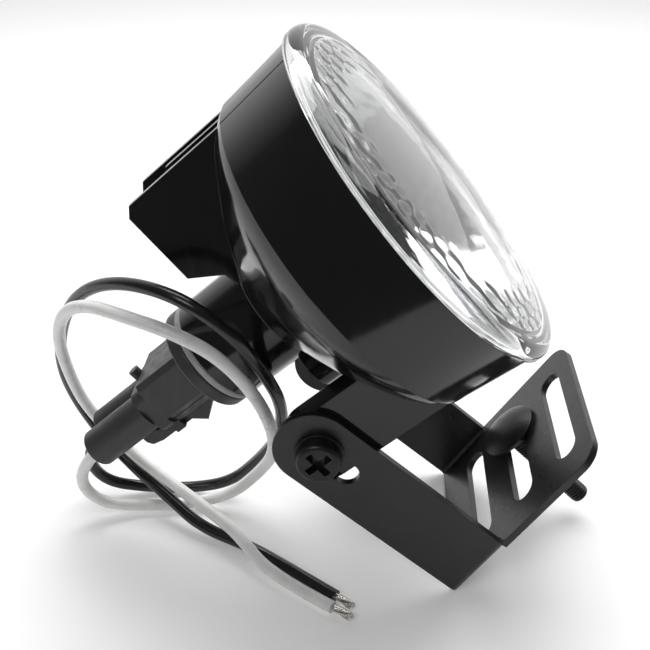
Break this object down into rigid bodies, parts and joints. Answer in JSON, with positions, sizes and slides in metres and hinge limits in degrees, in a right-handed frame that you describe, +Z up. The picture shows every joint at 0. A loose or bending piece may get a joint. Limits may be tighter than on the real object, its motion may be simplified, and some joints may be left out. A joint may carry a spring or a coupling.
{
  "type": "fog light",
  "caption": "Round fog light with a glass lens in a moulded housing, tilting on a slotted U bracket, with its bulb, plug, loose bolt and free leads.",
  "frame": {"origin": "centre of the bounding box's bottom, leads left out, on the surface that the part stands on", "axes": "+Z up; +Y across the lamp, along the axis of its pivot screws; the lens looks forwards and up, along +X and +Z at 41.5 degrees from the floor; the bracket stands on its rear lower edge"},
  "size_m": [0.1578, 0.1, 0.1468],
  "materials": {
    "bracket_coat": "satin black powder coat",
    "housing_plastic": "gloss black moulded",
    "lens_glass": "clear pressed glass",
    "lens_sealant": "matt black",
    "reflector_metal": "mirror bright, vacuum metallised",
    "seal_rubber": "light grey silicone",
    "bulb_plastic": "dark grey moulded",
    "plug_plastic": "dark grey moulded",
    "bulb_glass": "clear quartz",
    "filament_wire": "tungsten",
    "contact_metal": "tinned brass",
    "insert_brass": "turned",
    "screw_steel": "black zinc plated",
    "bolt_steel": "black oxide",
    "vent_plastic": "matt black",
    "white_insulation": "gloss white PVC",
    "black_insulation": "gloss black PVC",
    "wire_strands": "tinned copper"
  },
  "bodies": {
    "bracket": {"bracket": "bracket_coat"},
    "pivot_hardware": {"pivot_screws": "screw_steel", "pivot_washers": "screw_steel"},
    "lamp": {"housing": "housing_plastic", "vent_cap": "vent_plastic", "thread_inserts": "insert_brass", "lens": "lens_glass", "lens_seal": "lens_sealant", "reflector": "reflector_metal", "bulb_o_ring": "seal_rubber", "bulb_base": "bulb_plastic", "bulb_terminals": "contact_metal", "bulb_envelope": "bulb_glass", "bulb_filament": "filament_wire", "connector_plug": "plug_plastic", "connector_latch": "plug_plastic", "plug_terminals": "contact_metal", "plug_wire_seals": "seal_rubber", "white_lead": "white_insulation", "black_lead": "black_insulation", "white_strands": "wire_strands", "black_strands": "wire_strands"},
    "mounting_bolt": {"mounting_bolt": "bolt_steel"}
  },
  "joints": [
    {"name": "pivot_slide", "type": "slide", "parent": "bracket", "child": "pivot_hardware", "axis": [0.7615, 0, -0.6481], "range_m": [0, 0.009]},
    {"name": "lamp_tilt", "type": "hinge", "parent": "pivot_hardware", "child": "lamp", "pos_m": [-0.00524, 0, 0.04618], "axis": [0, 1, 0], "range_deg": [-30, 12]},
    {"name": "bolt_slide", "type": "slide", "parent": "bracket", "child": "mounting_bolt", "axis": [0, 1, 0], "range_m": [-0.024, 0.005]}
  ]
}
